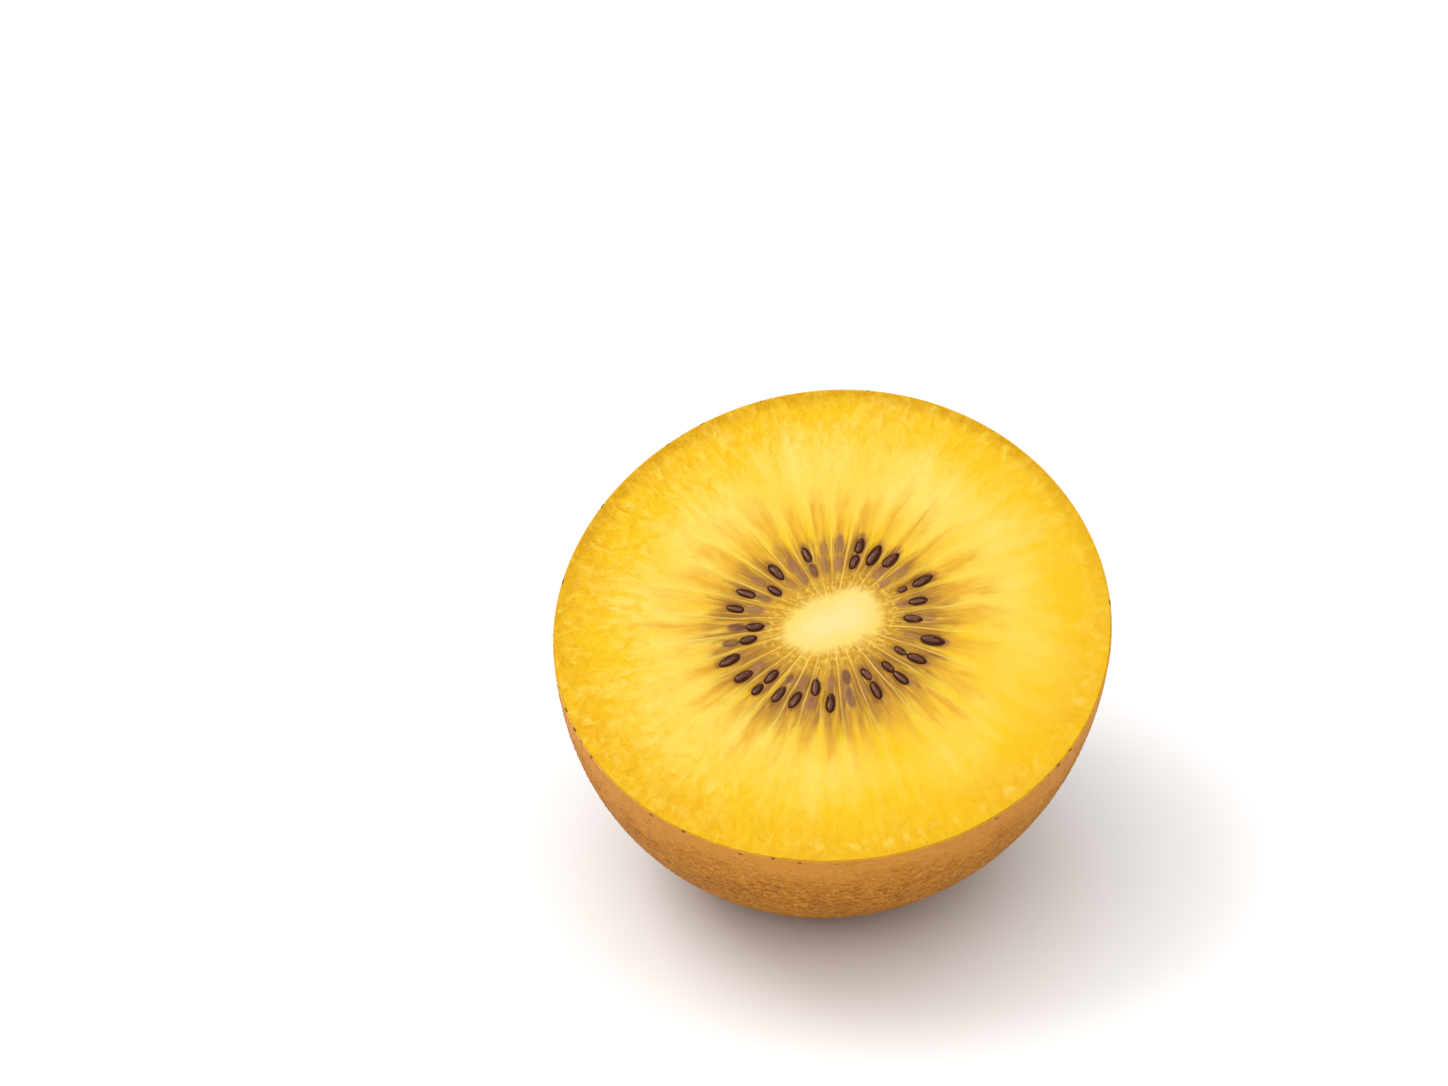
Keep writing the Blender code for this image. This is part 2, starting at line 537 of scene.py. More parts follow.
def flesh_material(colours):
    """Wet golden flesh.

    The piece's points carry how far they are from the core's edge, from the ring of seeds, from the end of
    the seed pockets and from the nearest pocket wall, all in millimetres. Streaks along the rays shift each
    of those edges, so that the zones run into each other in feathered ends."""
    nodes = Nodes("kiwi_flesh")
    place = nodes.place()
    ray = nodes.attribute("ray", "Vector")
    past_core, past_ring, past_zone, from_wall, stain_and_seed_shade, sunken, pale, rim, rough, grainy, far_shade_band = (
        nodes.attribute(name) for name in FACE_VALUES
    )

    streak = nodes.noise(ray, (14.0, 14.0, 110.0), 1.0, 0.45, 0.2)
    broken = nodes.noise(ray, (21.0, 21.0, 360.0), 2.0, 0.5, 0.5)
    fine = nodes.noise(ray, (38.0, 38.0, 260.0), 1.0, 0.45, 0.3)
    veins = nodes.noise(ray, (24.0, 24.0, 90.0), 0.0, 0.5, 0.3)
    wrinkles = nodes.noise(ray, (27.0, 27.0, 680.0), 1.0, 0.45, 0.8)
    lumps = nodes.noise(place, 1250.0, distortion=0.6)
    clouds = nodes.noise(place, 170.0)
    specks = nodes.noise(place, 2300.0, 1.0)
    grains = nodes.noise(place, 1000.0, 0.0)

    # The outer flesh: lemon gold, paler in a broad band past the seeds, and deeper gold at the skin, partly
    # as painted shade. The wrinkles and lumps get painted highlights on their crests and painted shade in
    # their hollows.
    paleness = pale * 0.85 + (streak - 0.5) * 0.8 * pale.rise(0.0, 0.3) + (clouds - 0.5) * 1.2
    base = nodes.blend(colours.flesh, colours.flesh_pale, paleness + (wrinkles - 0.5) * rough * 1.6)
    # relief_shading is high on the crests of the wrinkles and lumps that the bump makes, and low in their
    # hollows.
    relief_shading = (wrinkles - 0.48) * 1.3 + (lumps - 0.5) * 1.5
    base = nodes.blend(base, colours.flesh_deep, rim * 0.72 + (clouds - 0.5) * rim - relief_shading * rough, 0.95)
    base = nodes.blend(base, colours.flesh_pale, grains.rise(0.50, 0.66) * grainy * 0.45)
    # Painted shade: a dark gold band along the skin on the far side, lighter on the crests.
    base = nodes.blend(base, colours.lip_shade_colour, far_shade_band * (0.74 - relief_shading * 0.8), 0.95)

    # The seed pockets, from their feathered outer ends inwards.
    tongue = from_wall.rise(0.05, 0.95) - 0.5
    zone = ((streak - 0.5) * 5.5 + (broken - 0.5) * 4.0 + tongue * 2.4 - past_zone).rise(-2.4, 4.2)
    inside = ((streak - 0.5) * 5.0 + (broken - 0.5) * 4.0 - past_ring + 1.0).rise(-2.4, 1.6)
    golden = zone * (0.60 + (streak - 0.5) * 1.2 + (broken - 0.5) * 1.7 + tongue * 0.6)
    base = nodes.blend(base, colours.gold, golden, 0.95)
    base = nodes.blend(base, colours.gel, zone * inside * (0.88 + (broken - 0.5) * 1.5), 0.95)
    # Brown staining round the seeds, and painted shade close round each open seed.
    brown_amount = stain_and_seed_shade * (0.68 + (broken - 0.5) * 1.9 + (streak - 0.5) * 1.1 + (fine - 0.5) * 0.6)
    base = nodes.blend(base, colours.brown, brown_amount, 0.9)
    # Pale specks just outside the core: painted glints on its wet cells.
    near_core = past_core.rise(2.8, 0.8) * past_core.rise(-0.5, 0.3)
    base = nodes.blend(base, colours.wall, near_core * specks.rise(0.42, 0.74) * 0.60)

    # Pale walls between the pockets, with finer veins.
    along = past_core.rise(-0.3, 0.7) * past_zone.rise(2.0, -2.5)
    walls = from_wall.rise(0.12, 0.0) * (0.60 + (streak - 0.5) * 1.8 + (fine - 0.5) * 2.2)
    thin = (veins - 0.5).math("ABSOLUTE").rise(0.022, 0.0) * past_ring.rise(1.5, -0.5) * 0.5
    base = nodes.blend(base, colours.wall, (walls + thin) * along, 0.72)

    veiled = nodes.blend(colours.sunken, colours.seed_light, (broken - 0.35) * 1.6)
    veiled = nodes.blend(veiled, colours.seed, (sunken - 0.62) * 2.6, 0.8)
    base = nodes.blend(base, veiled, sunken * (1.15 + (broken - 0.5) * 1.4), 0.92)
    core = ((streak - 0.5) * 0.7 + (fine - 0.5) * 0.9 + (lumps - 0.5) * 1.1 - past_core).rise(-0.7, 0.6)
    outwards = (clouds - 0.5) * 0.8 + past_core.rise(-3.2, 0.0) * 0.70
    cream = nodes.blend(colours.core, colours.wall, outwards)
    base = nodes.blend(base, cream, core)

    outside_core = 1 - core
    height = wrinkles * (0.06 + rough * 1.2) + fine * zone * 0.25 + broken * zone * 0.25
    height = height * outside_core + specks * near_core * 0.5 + lumps * (0.20 + rough * 0.6)
    normal = nodes.bump(height, 0.20 * MM, 0.95)
    return nodes.finish(
        Base_Color=base,
        Roughness=(0.44 - zone * 0.14 - (lumps - 0.5) * 0.3 + core * 0.12).within(0.2, 0.7),
        Normal=normal,
        IOR=1.36,
        Specular_IOR_Level=0.34,
        Specular_Tint=(1.0, 0.84, 0.42, 1.0),
        Subsurface_Weight=0.30,
        Subsurface_Radius=FLESH_SCATTER,
        Subsurface_Scale=1.3 * MM,
    )


def skin_material(colours):
    """Dull golden-brown skin: lighter flecks that run round the fruit, darker pits and a pale cut edge. It is
    tan near the cut, partly as a painted sheen, and darker towards the bottom as painted shade.
    """
    nodes = Nodes("kiwi_skin")
    place = nodes.place()
    wrap = nodes.attribute("wrap", "Vector")
    edge = nodes.attribute("edge")
    down = nodes.attribute("down")
    clouds = nodes.noise(place, 200.0)
    mottle = nodes.noise(place, 1400.0, 3.0, 0.65)
    flecks = nodes.noise(wrap, (48.0, 48.0, 2300.0), 3.0, 0.62, 0.9)
    pits = nodes.cells(place, 900.0)
    dots = nodes.cells(place, 820.0).rise(0.27, 0.15) * down.rise(0.026, 0.012) * 0.85
    # further_down grows from the cut towards the blossom end. Near the cut the skin is tan, partly its own
    # colour and partly a painted sheen; further down it is golden-brown with stronger flecks and pits.
    further_down = (down + (clouds - 0.5) * 0.28).rise(0.02, 0.28)
    # The last term paints shade: the skin is darker towards the bottom.
    shade = (clouds - 0.48) * 0.8 * further_down + (mottle - 0.50) * (1.2 + further_down * 2.0) + down.rise(0.04, 0.36) * 0.50
    tone = nodes.blend(colours.skin, colours.skin_gold, further_down)
    tone = nodes.blend(tone, colours.skin_dark, shade, 0.9)
    tone = nodes.blend(tone, colours.skin_light, (flecks - 0.50) * (1.6 + further_down * 3.0), 0.9)
    tone = nodes.blend(tone, colours.skin_dark, pits.rise(0.26, 0.12) * 0.9 * further_down)
    tone = nodes.blend(tone, colours.skin_edge, edge)
    tone = nodes.blend(tone, colours.dried, dots)
    height = flecks * (0.35 + further_down * 0.65) + mottle * 0.35 + pits.rise(0.0, 0.3) * 0.35 * further_down
    return nodes.finish(
        Base_Color=tone,
        Roughness=0.60 + (mottle - 0.5) * 0.3,
        Normal=nodes.bump(height, 0.20 * MM, 1.0),
        Specular_IOR_Level=0.05,
        Specular_Tint=(1.0, 0.80, 0.55, 1.0),
        Sheen_Weight=0.18,
        Sheen_Roughness=0.35,
        Sheen_Tint=(1.0, 0.42, 0.12, 1.0),
    )


def seed_material(colours):
    """Dark, shiny seed coat with fine ribs along it, and a painted highlight: a lighter stripe along the top
    of each seed.
    """
    nodes = Nodes("kiwi_seed")
    place = nodes.place()
    along = nodes.attribute("along", "Vector")
    tint = nodes.attribute("tint")
    crown = nodes.attribute("crown")
    ribs = nodes.noise(along, (1.2, 3.4, 3.4), 1.0)
    mottle = nodes.noise(place, 3200.0)
    # crown is the painted highlight stripe along the top of each seed.
    lighter = ribs - 0.62 + tint * 0.3 + crown * (0.36 + (mottle - 0.5) * 1.1)
    tone = nodes.blend(colours.seed, colours.seed_light, lighter)
    return nodes.finish(
        Base_Color=tone,
        Roughness=(0.19 + (mottle - 0.5) * 0.2).within(0.1, 0.5),
        Normal=nodes.bump(ribs + mottle * 0.3, 0.03 * MM, 0.4),
        Specular_IOR_Level=0.36,
        Specular_Tint=(1.0, 0.46, 0.26, 1.0),
        Coat_Weight=0.22,
        Coat_Roughness=0.08,
    )


def fuzz_material(name, hair, root):
    """Thin hair, a little lighter or darker from place to place."""
    nodes = Nodes(name)
    shade = nodes.noise(nodes.place(), 1800.0, 1.0)
    tone = nodes.blend(hair, root, (shade - 0.5) * 2.2)
    return nodes.finish(Base_Color=tone, Roughness=0.45 + shade * 0.2, Specular_IOR_Level=0.12)


def dried_material(colours):
    """Dry, woody remains of the flower."""
    nodes = Nodes("kiwi_dried_flower")
    grain = nodes.noise(nodes.place(), 2400.0, 3.0, 0.6)
    tone = nodes.blend(colours.dried, colours.skin_dark, (grain - 0.45) * 2.5)
    return nodes.finish(
        Base_Color=tone,
        Roughness=0.7 + (grain - 0.5) * 0.3,
        Normal=nodes.bump(grain, 0.06 * MM, 0.8),
        Specular_IOR_Level=0.3,
    )


def floor_material(colours):
    """Plain pale, dull floor with the faintest unevenness."""
    nodes = Nodes("plain_floor")
    shade = nodes.noise(nodes.place(), 6.0, 1.0)
    tone = nodes.blend(colours.floor, tuple(c * 0.985 for c in colours.floor), shade)
    return nodes.finish(Base_Color=tone, Roughness=0.9, Specular_IOR_Level=0.2)


# ---------------------------------------------------------------- what the cut shows

# Each seed pocket: its direction in degrees round the cut face, then its seeds. A seed is how far out it
# lies in millimetres, how long it is next to a usual one, and how clearly it shows: 1 lies open, and less
# lies deeper under the flesh.
POCKETS = (
    (2, ((7.4, 0.90, 1), (8.9, 0.7, 0.4))),
    (15, ((8.2, 0.95, 1), (6.6, 0.6, 0.35))),
    (27, ((9.3, 1.1, 1), (7.2, 0.5, 1))),
    (39, ((8.0, 0.9, 0.2), (6.2, 0.7, 0.25))),
    (50, ((8.4, 1.1, 1), (6.5, 0.8, 0.35))),
    (61, ((7.8, 1.2, 1),)),
    (72.5, ((8.25, 0.9, 1), (6.4, 0.8, 1))),
    (86, ((7.9, 1.0, 0.5), (5.9, 0.9, 0.4))),
    (97, ((5.7, 0.8, 0.3), (7.3, 0.8, 0.15))),
    (110, ((7.2, 0.9, 1), (5.4, 0.85, 0.75))),
    (124, ((6.7, 0.9, 0.45), (5.1, 0.8, 0.5))),
    (137, ((7.3, 1.05, 1), (5.4, 0.7, 0.2))),
    (151, ((6.2, 0.8, 1), (7.9, 0.8, 0.5))),
    (161.5, ((8.5, 1.0, 1), (6.8, 0.8, 0.55))),
    (173, ((9.1, 0.9, 1), (7.3, 0.9, 0.45))),
    (186, ((7.2, 0.95, 1), (8.9, 0.95, 0.75))),
    (195, ((8.1, 0.85, 1), (9.7, 0.9, 0.8))),
    (204, ((10.4, 1.1, 1),)),
    (215.5, ((10.0, 1.0, 1), (8.4, 0.7, 0.35))),
    (226, ((8.2, 0.9, 1), (9.9, 0.75, 1))),
    (237, ((9.1, 1.0, 1), (7.3, 0.5, 0.7))),
    (247, ((8.9, 0.95, 1), (7.0, 0.7, 0.4))),
    (257, ((7.1, 0.9, 1), (8.8, 0.9, 0.5))),
    (268.5, ((8.4, 1.0, 1), (6.5, 0.7, 0.35))),
    (281.5, ((6.0, 0.8, 0.75), (8.1, 1.1, 0.65))),
    (299, ((8.1, 1.0, 1), (6.2, 0.8, 1))),
    (317, ((8.5, 0.95, 1), (6.9, 0.75, 1))),
    (333.5, ((8.6, 1.0, 1), (6.9, 0.7, 1))),
    (348, ((9.4, 1.15, 1), (7.4, 0.8, 0.3))),
)


def seeds_of(pockets, opened):
    """The open or the sunken seeds, as rows of direction, distance out, size and how clearly each shows."""
    rows = [(angle, *seed) for angle, seeds in pockets for seed in seeds if (seed[2] == 1) == opened]
    directions, outs, sizes, clear = np.array(rows).T
    return np.radians(directions), outs * MM, sizes, clear


class CutPattern:
    """What the cut face shows at each of its points, from their places across and uphill of its middle."""

    def __init__(self, shape, across, uphill, share_out):
        self.shape = shape
        self.across = across
        self.uphill = uphill
        self.share_out = np.broadcast_to(share_out, across.shape)
        self.out = np.hypot(across, uphill)
        self.angle = np.arctan2(uphill, across)
        self.ray = np.stack([np.cos(self.angle), np.sin(self.angle), self.out], axis=-1)
        self.underside = self.side(274)

    def side(self, degrees, sharpness=1):
        """1 in one direction round the face and 0 opposite it: half of one plus the cosine, to a power."""
        return (0.5 + 0.5 * np.cos(self.angle - math.radians(degrees))) ** sharpness

    def rays(self, around, outward, seed, layers=2):
        """Noise that is drawn out along the rays: around sets how fine it is round the face, and outward
        how many changes it has in a metre of ray."""
        return layered_noise(self.ray * np.array((around, around, outward)), seed, layers)

    def past_oval(self, middle, long_half, short_half, turn, power=2.0):
        """How far a point lies past an oval that has its own middle, in millimetres."""
        across, uphill = self.across - middle[0], self.uphill - middle[1]
        edge = oval_radius(np.arctan2(uphill, across), long_half, short_half, math.radians(turn), power)
        return (np.hypot(across, uphill) - edge) / MM

    def past_core(self):
        """How far past the core's edge, an oval that is blunter at its upper end."""
        blunt = 2.6 + 0.6 * np.cos(self.angle - math.radians(22))
        half_length, half_width = self.shape.core_length / 2, self.shape.core_width / 2
        return self.past_oval((-0.15 * MM, -0.25 * MM), half_length, half_width, 22, blunt)

    def past_ring(self):
        """How far past the ring on which most seeds lie."""
        ring = self.shape.seed_ring
        return self.past_oval((-0.4 * MM, -0.4 * MM), ring * 1.10, ring * 0.88, 17)

    def past_zone(self):
        """How far past the outer ends of the pockets."""
        middle = (-0.6 * MM, -0.4 * MM)
        return self.past_oval(middle, self.shape.gel_length / 2, self.shape.gel_width / 2, 8)

    def from_wall(self):
        """How far from the nearest wall between two pockets, in millimetres. The pockets are numbered round
        the face, with halves at the walls, and the walls wander a little."""
        centres = np.radians([angle for angle, _ in POCKETS])
        count = len(centres)
        before = np.concatenate([[centres[-1] - 2 * math.pi], centres, [centres[0] + 2 * math.pi]])
        turned = np.mod(self.angle + 0.022 * self.rays(2.4, 230.0, 11), 2 * math.pi)
        number = np.interp(turned, before, np.arange(-1, count + 1))
        gap = np.diff(before)[np.clip(np.floor(number).astype(int) + 1, 0, count)]
        return np.abs(np.mod(number, 1) - 0.5) * gap * self.out / MM

    def stain_and_seed_shade(self):
        """Brown staining round the seeds: 1 on their ring, fading inwards, and fading outwards over a few
        millimetres on the lower side of the face and sooner on the upper side. Close round each open seed it
        is at full strength, as painted shade round the seed."""
        past = self.past_ring() + 0.9 * self.rays(11.0, 200.0, 31)
        reach = mix(1.8, 5.6, self.underside)
        broad = ramp(past, -4.6, -0.8) * ramp(past, reach, 0.2) * mix(0.72, 1.0, self.underside)
        return np.maximum(broad, self.near_seeds(True, 1.32, 0.3) * 1.4)

    def near_seeds(self, opened, grow=1.0, softness=0.2):
        """1 over the seeds of one kind and 0 away from them: each seed is an oval along its ray."""
        found = np.zeros_like(self.out)
        for direction, out, size, clear in zip(*seeds_of(POCKETS, opened)):
            along, beside = turned(self.across, self.uphill, -direction)
            away = np.hypot(
                (along - out) / (self.shape.seed_length * size * grow / 2),
                beside / (self.shape.seed_width * math.sqrt(size) * grow / 2),
            )
            found = np.maximum(found, (0.3 + 0.7 * clear) * ramp(away, 1 + softness, 1 - softness))
        return found

    def sunken(self):
        """1 over the seeds that show through the flesh, less over the deeper ones, and 0 elsewhere."""
        return self.near_seeds(False)

    def pale(self):
        """The broad paler band past the pockets, widest and strongest at the upper right, strong again at
        the left and weakest at the lower right."""
        toward, left, lower_right = self.side(40), self.side(205, 3), self.side(325, 4)
        middle = (mix(14.0, 15.5, toward) + 1.7 * left) * MM
        reach = (mix(4.0, 5.6, toward) + left) * MM
        strength = mix(0.62, 0.95, toward) + 0.30 * left - 0.40 * lower_right
        return bell(self.out, middle, reach) * strength

    def rim(self):
        """0 in the middle of the flesh and up to 1 at the skin, less at the upper right: how much deeper gold
        the flesh is there, partly its own colour and partly painted shade.
        """
        return ramp(self.share_out, 0.72, 1.0) * mix(1.0, 0.48, self.side(55, 2))

    def far_shade_band(self):
        """1 in a narrow band along the skin on the far side of the face, and 0 elsewhere: where painted shade
        darkens the flesh.
        """
        return ramp(self.share_out, 0.925, 0.99) * ramp(self.side(100), 0.35, 0.80)

    def rough(self):
        """How wrinkled the outer flesh is: most at the left, and everywhere close to the skin."""
        outer = ramp(self.out, 12 * MM, 21 * MM) * mix(0.12, 0.85, self.side(160))
        return outer + 0.35 * ramp(self.share_out, 0.84, 0.96)

    def grainy(self):
        """A narrow band of pale grains just inside the skin, on the lower side."""
        band = bell(self.share_out, 0.945, 0.022) * mix(0.25, 1.0, ramp(self.underside, 0.35, 0.8))
        return band * (0.7 + 0.5 * self.rays(6.0, 100.0, 41))

    def relief(self):
        """Height over the cut's plane: the pockets swell between their walls, the flesh sinks round each
        open seed and stands over the sunken ones, the outer flesh is softly wrinkled, and the rim rounds
        off at the skin."""
        zone = ramp(self.past_zone(), 1.0, -3.0) * ramp(self.past_core(), 0.0, 1.0)
        swell = ramp(self.from_wall(), 0.0, 0.45)
        height = zone * 0.07 * MM * (swell - 0.5 + 0.6 * self.rays(15.0, 700.0, 61))
        height -= 0.17 * MM * self.near_seeds(True, 1.30, 0.35)
        height += 0.09 * MM * self.near_seeds(False, 1.0, 0.5)
        warp = 1.1 * self.rays(3.0, 120.0, 51)
        where = np.stack([self.across * 620 + warp, self.uphill * 620 - warp, 0 * self.out], axis=-1)
        outer = ramp(self.out, 9 * MM, 17 * MM)
        height += 0.06 * MM * outer * (0.7 * layered_noise(where, 52, 2) + 0.6 * self.rays(17.0, 260.0, 53))
        height += 0.10 * MM * ramp(self.past_core(), 0.3, -0.8)
        height -= 0.03 * MM * np.exp((self.share_out - 1) / 0.006)
        return height


FLESH_AROUND = 576
FLESH_ROWS = 146
HIDDEN_ROWS = 12
INSIDE_GAP = 0.04 * MM


def face_shares():
    """How far out each ring of the cut face lies, from 0 to 1. Rings lie closest together over the seed
    pockets: the spacing follows one over a density that is highest there and at the rim."""
    out = np.linspace(0, 1, 2001)
    density = 1 + 1.6 * np.exp(-(((out - 0.32) / 0.2) ** 4)) + 2.5 * bell(out, 1, 0.03)
    total = np.concatenate([[0], np.cumsum((density[1:] + density[:-1]) / 2)])
    return np.interp(np.linspace(0, 1, FLESH_ROWS + 1)[1:], total / total[-1], out)


class KIWI_OT_flesh(bpy.types.Operator):
    """Make the flesh: one closed solid with the cut face on top, inside the skin"""

    bl_idname = "kiwi.flesh"
    bl_label = "Flesh"

    def execute(self, context):
        shape, colours = context.scene.kiwi_shape, context.scene.kiwi_colours
        inset = shape.skin_thickness
        angle = all_round(FLESH_AROUND)
        shares = np.concatenate([[1e-6], face_shares()])[:, None]
        across, uphill = section(angle, shape.lobes)
        shrink = 1 - inset / CUT.long_half
        pattern = CutPattern(shape, across * shrink * shares, uphill * shrink * shares, shares)
        face = CUT.place(pattern.across, pattern.uphill, pattern.relief())

        down = (np.arange(1, HIDDEN_ROWS + 1) / (HIDDEN_ROWS + 1) * QUARTER)[:, None]
        back = fruit_surface(shape, angle, down, inset + INSIDE_GAP)
        last = blossom_pole(shape, inset + INSIDE_GAP)
        rings = np.concatenate([face[1:], back])
        piece = ringed_piece("flesh", rings, face[0].mean(axis=0), last, flesh_material(colours))

        def give(name, values):
            """Carries the face's values on to the hidden back as they are at the rim."""
            rings = np.concatenate([values[1:], np.repeat(values[-1:], HIDDEN_ROWS, axis=0)])
            add_ring_values(piece, name, rings, values[0].mean(axis=0), values[-1].mean(axis=0))

        give("ray", pattern.ray)
        for name in FACE_VALUES:
            give(name, getattr(pattern, name)())
        belongs(piece)
        return {"FINISHED"}


# ---------------------------------------------------------------- skin, seeds, fuzz and blossom end

SKIN_AROUND = 576
SKIN_ROWS = 120
ROW_SPREAD = 1.25  # above 1 the rows lie closer together at the cut
LAST_ROW = 0.985  # how far towards the blossom end the last row lies
LINING_ROWS = 16
LIP_DOWN = 2e-3  # how far down the skin's rounded lip reaches, in radians


def skin_relief(points):
    """Small bumps of the skin, in metres: coarse ones with finer ones on them."""
    return 0.020 * MM * layered_noise(points * 800, 71, 3) + 0.03 * MM * layered_noise(points * 170, 75, 2)


class KIWI_OT_skin(bpy.types.Operator):
    """Make the skin: a thin closed shell round the flesh, open at the cut"""

    bl_idname = "kiwi.skin"
    bl_label = "Skin"

    def execute(self, context):
        shape, colours = context.scene.kiwi_shape, context.scene.kiwi_colours
        angle = all_round(SKIN_AROUND)
        way = np.arange(SKIN_ROWS)[:, None] / SKIN_ROWS
        down = np.maximum(QUARTER * LAST_ROW * way**ROW_SPREAD, LIP_DOWN)
        down[0] = LIP_DOWN / 2
        _, outward, _, _ = surface_frame(shape, angle, np.maximum(down, LIP_DOWN))
        here = fruit_surface(shape, angle, down)
        relief = skin_relief(here) * ramp(down, 0.0, 0.05)
        outer = rested(here + outward * relief[..., None])
        lining_down = QUARTER * (1 - np.arange(1, LINING_ROWS + 1)[:, None] / (LINING_ROWS + 1))
        thickness = shape.skin_thickness
        lining = fruit_surface(shape, angle, lining_down, thickness)
        inner_lip = fruit_surface(shape, angle, np.array([[LIP_DOWN]]), thickness * 0.95)
        lip = fruit_surface(shape, angle, np.array([[LIP_DOWN / 2]]), thickness * 0.45) + CUT.out * 0.015 * MM
        rings = np.concatenate([lining, inner_lip, lip, outer])
        first, last = blossom_pole(shape, thickness), blossom_pole(shape)
        piece = ringed_piece("skin", rings, first, last, skin_material(colours))

        under = -(rings - CUT.middle) @ CUT.out
        radius = np.linalg.norm(rings - CUT.middle + under[..., None] * CUT.out, axis=-1)
        around = np.broadcast_to(angle, under.shape)
        wrap = np.stack([np.cos(around), np.sin(around), under + CUT.long_half - radius], axis=-1)
        outside = np.arange(len(rings))[:, None] >= LINING_ROWS + 2
        # The pale cut edge is strongest on the upper side and weak on the lower side: partly the skin's own
        # edge colour and partly a painted highlight along the rim.
        paler = mix(0.95, 0.25, ramp(-np.sin(around), 0.0, 0.7))

        edge = paler * np.where(outside, ramp(under, 0.10 * MM, 0.0), 1.0)
        add_ring_values(piece, "wrap", wrap, wrap[0, 0], wrap[-1, 0])
        add_ring_values(piece, "down", np.where(outside, under / shape.half_length, 0.0), 0.0, 1.0)
        add_ring_values(piece, "edge", edge, 1.0, 0.0)
        belongs(piece)
        return {"FINISHED"}


SEED_ALONG = 20
SEED_AROUND = 24
SEED_THICKNESS = 0.70  # next to its width
SEED_APART = 7.3  # how far each seed's ribs are moved on in the noise, so that no two look alike


class KIWI_OT_seeds(bpy.types.Operator):
    """Make the open seeds: small drops that lie along the rays, half sunk in the flesh"""

    bl_idname = "kiwi.seeds"
    bl_label = "Seeds"

    def execute(self, context):
        shape, colours = context.scene.kiwi_shape, context.scene.kiwi_colours
        directions, outs, sizes, _ = seeds_of(POCKETS, True)
        count = len(outs)
        random = np.random.default_rng(3)
        skew = random.uniform(-0.16, 0.16, count)
        pitch = random.uniform(-0.13, 0.13, count)[:, None]
        sunk = random.uniform(0.12, 0.24, count)[:, None] * MM
        flip = np.where(random.random(count) < 0.4, -1.0, 1.0)

        # From end to end the half width is a power of one minus a power of the place along the seed, and
        # one end is a little narrower.
        place = -np.cos(math.pi * np.arange(1, SEED_ALONG) / SEED_ALONG)[:, None]
        around = all_round(SEED_AROUND)[None, :]
        width = (1 - np.abs(place) ** 2.3) ** 0.52 * (1 - 0.12 * place)
        ridge = 1 + 0.05 * np.cos(2 * around)
        beside, over = width * np.cos(around) * ridge, width * np.sin(around) * SEED_THICKNESS
        rings = np.stack([place + 0 * around, beside, over], axis=-1)
        model = np.concatenate([[(-1.0, 0.0, 0.0)], rings.reshape(-1, 3), [(1.0, 0.0, 0.0)]])

        half_length = shape.seed_length * sizes / 2
        half_width = shape.seed_width * sizes**0.6 / 2
        local = model[None] * np.stack([half_length * flip, half_width * flip, half_width], axis=-1)[:, None]
        along, beside, over = np.moveaxis(local, -1, 0)
        centre_x, centre_y = turned(outs[:, None], 0.0, directions[:, None])
        step_x, step_y = turned(along, beside, (directions + skew)[:, None])
        points = CUT.place(centre_x + step_x, centre_y + step_y, over + along * pitch - sunk)
        quads, triangles = ring_faces(SEED_ALONG - 1, SEED_AROUND)
        points, quads, triangles = many_copies(points, quads[:, ::-1], triangles[:, ::-1])
        piece = new_piece("seeds", points, quads, triangles, seed_material(colours))
        patterned = model[None] + np.arange(count)[:, None, None] * SEED_APART
        add_values(piece, "along", patterned.reshape(-1, 3))
        add_values(piece, "tint", np.repeat(random.uniform(-0.15, 0.45, count), len(model)))
        # The crown is a painted highlight: a lighter stripe along the top of each seed, a little to one side.
        painted_highlight_stripe = bell(model[:, 1], 0.26, 0.20) * (model[:, 2] > 0)
        add_values(piece, "crown", np.tile(painted_highlight_stripe * (1 - np.abs(model[:, 0] - 0.1) ** 2.5), count))
        belongs(piece)
        return {"FINISHED"}


HAIR_TRIES = 16  # places tried for each hair, which is enough for the small blossom end
REST_CLEARANCE = 0.4 * MM  # hairs start at least this far over the floor
FLOOR_CLEARANCE = 0.02 * MM  # and no part of one comes closer to it than this


def hairs(roots, outward, lean, lengths, widths, lift):
    """Many short hairs: each starts in the skin, stands up by the share lift and bends over towards its
    lean, and tapers from a triangle to a point."""
    lengths, widths = lengths[:, None], widths[:, None]
    beside = unit(np.cross(outward, lean))
    start = unit(outward * lift[:, None] + lean * (1 - lift[:, None]))
    bend = unit(outward * lift[:, None] * 0.25 + lean)
    low = roots - outward * widths * 0.5
    middle = roots + start * lengths * 0.5
    tip = middle + bend * lengths * 0.5
    rings = []
    for base, width in ((low, widths), (middle, widths * 0.75)):
        for turn in (0.0, 2 * math.pi / 3, 4 * math.pi / 3):
            rings.append(base + (beside * math.cos(turn) + outward * math.sin(turn)) * width)
    points = np.stack([*rings, tip], axis=1)
    quads = np.array([(0, 1, 4, 3), (1, 2, 5, 4), (2, 0, 3, 5)])
    triangles = np.array([(3, 4, 6), (4, 5, 6), (5, 3, 6), (0, 2, 1)])
    return many_copies(points, quads, triangles)


def hairy_places(shape, random, count, highest, density):
    """Random places on the outside with their directions, from the share highest of the way down to the
    blossom end. Heights are drawn evenly, which spreads them evenly over a round shape, and a place is
    kept with its density as the chance."""
    tries = count * HAIR_TRIES
    angle = random.uniform(0, 2 * math.pi, tries)
    down = np.arcsin(random.uniform(highest, 0.9999, tries) ** (shape.bluntness / 2))
    places = surface_frame(shape, angle, down)
    kept = (random.random(tries) < density(places[0])) & (places[0][:, 2] > REST_CLEARANCE)
    kept &= np.cumsum(kept) <= count
    return [rows[kept] for rows in places]


